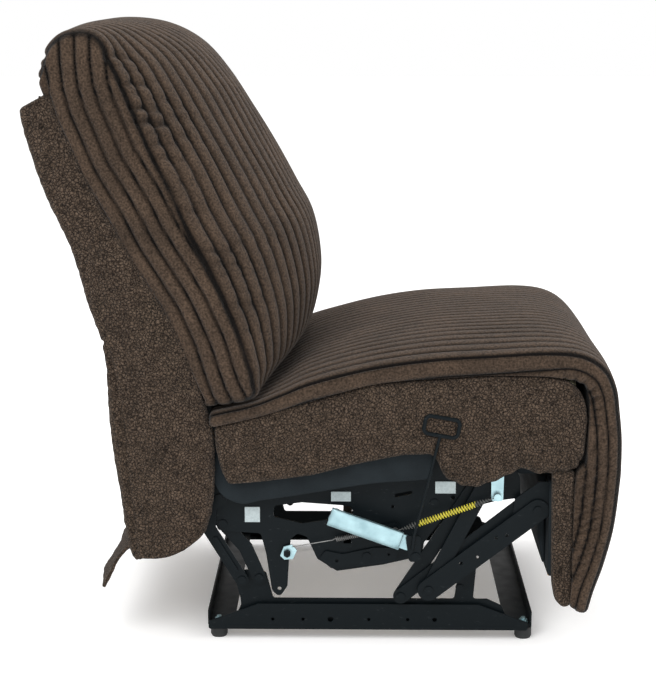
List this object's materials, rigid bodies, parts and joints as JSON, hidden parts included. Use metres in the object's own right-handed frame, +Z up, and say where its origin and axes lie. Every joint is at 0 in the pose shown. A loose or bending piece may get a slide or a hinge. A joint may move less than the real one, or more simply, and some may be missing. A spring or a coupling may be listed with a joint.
{
  "type": "armless recliner",
  "caption": "Armless reclining chair: ribbed back and chaise seat with pull-out footrest, nubby cloth sides, open steel lever mechanism, pull handle at the side.",
  "frame": {"origin": "on the floor, under the middle of the closed chair's bounding box", "axes": "+X to the front of the chair, +Y to the sitter's left, +Z up"},
  "size_m": [1.001, 0.6358, 1.0697],
  "materials": {
    "plush": "wide-ribbed plush",
    "boucle": "nubby loop cloth",
    "black_cloth": "thin woven",
    "black_steel": "powder coat",
    "zinc_steel": "zinc plated",
    "spring_yellow": "painted",
    "wire_steel": "oiled",
    "clip_white": "matte",
    "foot_black": "matte",
    "timber": "raw sawn",
    "foam": "cut foam"
  },
  "bodies": {
    "base": {"base_rail_right": "black_steel", "base_rail_left": "black_steel", "base_plate_right": "black_steel", "base_plate_left": "black_steel", "cross_members": "black_steel", "floor_feet": "foot_black", "foot_bolts": "zinc_steel", "base_pins": "black_steel"},
    "rear_swing": {"rear_swing_links": "black_steel"},
    "front_swing": {"front_swing_links": "black_steel"},
    "back_link": {"back_links": "black_steel"},
    "seat": {"seat_plate_right": "black_steel", "seat_plate_left": "black_steel", "lower_plates": "black_steel", "seat_pins": "black_steel", "spring_hangers": "zinc_steel", "cross_tube": "black_steel", "seat_side_rail_right": "timber", "seat_side_rail_left": "timber", "seat_cross_rails": "timber", "seat_springs": "wire_steel", "side_boards": "timber", "side_panel_right": "boucle", "side_panel_left": "boucle", "seat_skirt": "black_cloth", "seat_foam": "foam", "seat_cushion": "plush", "plate_clips": "clip_white"},
    "back": {"back_posts": "timber", "back_rails": "timber", "back_springs": "wire_steel", "back_bracket_right": "black_steel", "back_bracket_left": "black_steel", "shell_side_right": "boucle", "shell_side_left": "boucle", "shell_rear": "boucle", "access_flap": "boucle", "back_cushion": "plush"},
    "footrest": {"footrest_board": "timber", "footrest_lining": "boucle", "footrest_backing": "black_cloth", "footrest_pad": "plush", "footrest_bracket_right": "black_steel", "footrest_bracket_left": "black_steel"},
    "outer_links": {"outer_link_right": "black_steel", "outer_link_left": "black_steel"},
    "inner_links": {"inner_link_right": "black_steel", "inner_link_left": "black_steel"},
    "outer_arms": {"outer_arm_right": "black_steel", "outer_arm_left": "black_steel"},
    "inner_arms": {"inner_arm_right": "black_steel", "inner_arm_left": "black_steel"},
    "handle": {"trigger_lever": "black_steel", "pull_handle": "black_steel"},
    "latch_link": {"latch_link": "zinc_steel"},
    "latch_crank": {"latch_crank_right": "black_steel", "latch_crank_left": "black_steel", "torque_tube": "black_steel"},
    "drive_springs": {"drive_spring_right": "spring_yellow", "drive_spring_left": "spring_yellow"}
  },
  "joints": [
    {"name": "recline", "type": "hinge", "parent": "seat", "child": "back", "pos_m": [-0.1865, 0, 0.262], "axis": [0, -1, 0], "range_deg": [0, 32]},
    {"name": "rear_swing_pivot", "type": "hinge", "parent": "base", "child": "rear_swing", "pos_m": [-0.12, 0, 0.113], "axis": [0, 1, 0], "range_deg": [0, 26]},
    {"name": "seat_glide", "type": "hinge", "parent": "rear_swing", "child": "seat", "pos_m": [-0.182, 0, 0.213], "axis": [0, -1, 0], "range_deg": [0, 26]},
    {"name": "front_swing_pivot", "type": "hinge", "parent": "base", "child": "front_swing", "pos_m": [0.2455, 0, 0.152], "axis": [0, 1, 0], "range_deg": [0, 26]},
    {"name": "back_link_pivot", "type": "hinge", "parent": "base", "child": "back_link", "pos_m": [-0.1495, 0, 0.112], "axis": [0, 1, 0], "range_deg": [0, 21.72]},
    {"name": "footrest_open", "type": "hinge", "parent": "seat", "child": "footrest", "pos_m": [0.4775, 0, 0.482], "axis": [0, -1, 0], "range_deg": [0, 88]},
    {"name": "outer_link_pivot", "type": "hinge", "parent": "seat", "child": "outer_links", "pos_m": [0.2925, 0, 0.337], "axis": [0, -1, 0], "range_deg": [0, 88]},
    {"name": "inner_link_pivot", "type": "hinge", "parent": "seat", "child": "inner_links", "pos_m": [0.2735, 0, 0.317], "axis": [0, -1, 0], "range_deg": [0, 88]},
    {"name": "outer_knee", "type": "hinge", "parent": "outer_links", "child": "outer_arms", "pos_m": [0.1745, 0, 0.1], "axis": [0, 1, 0], "range_deg": [0, 88]},
    {"name": "inner_knee", "type": "hinge", "parent": "inner_links", "child": "inner_arms", "pos_m": [0.1265, 0, 0.085], "axis": [0, 1, 0], "range_deg": [0, 88]},
    {"name": "handle_pull", "type": "hinge", "parent": "seat", "child": "handle", "pos_m": [0.1505, 0, 0.169], "axis": [0, -1, 0], "range_deg": [0, 20], "stiffness_Nm_per_rad": 3, "springref_deg": -11.46},
    {"name": "latch_crank_pivot", "type": "hinge", "parent": "seat", "child": "latch_crank", "pos_m": [0.0335, 0, 0.187], "axis": [0, -1, 0], "range_deg": [0, 8.34]},
    {"name": "latch_link_pin", "type": "hinge", "parent": "handle", "child": "latch_link", "pos_m": [0.1415, 0, 0.19], "axis": [0, 1, 0], "range_deg": [0, 20.43]},
    {"name": "drive_spring_stud", "type": "hinge", "parent": "seat", "child": "drive_springs", "pos_m": [0.2895, 0, 0.271], "axis": [0, 1, 0], "range_deg": [0, 3.83], "deforming": ["drive_spring_right", "drive_spring_left"]}
  ],
  "couplings": [
    {"joint": "rear_swing_pivot", "follows": "recline", "ratio": 0.8125},
    {"joint": "seat_glide", "follows": "recline", "ratio": 0.8125},
    {"joint": "front_swing_pivot", "follows": "recline", "ratio": 0.8125},
    {"joint": "back_link_pivot", "follows": "recline", "ratio": 0.67875},
    {"joint": "outer_link_pivot", "follows": "footrest_open", "ratio": 1},
    {"joint": "inner_link_pivot", "follows": "footrest_open", "ratio": 1},
    {"joint": "outer_knee", "follows": "footrest_open", "ratio": 1},
    {"joint": "inner_knee", "follows": "footrest_open", "ratio": 1},
    {"joint": "latch_crank_pivot", "follows": "handle_pull", "ratio": 0.4172},
    {"joint": "latch_link_pin", "follows": "handle_pull", "ratio": 1.0216},
    {"joint": "drive_spring_stud", "follows": "handle_pull", "ratio": 0.1914}
  ]
}
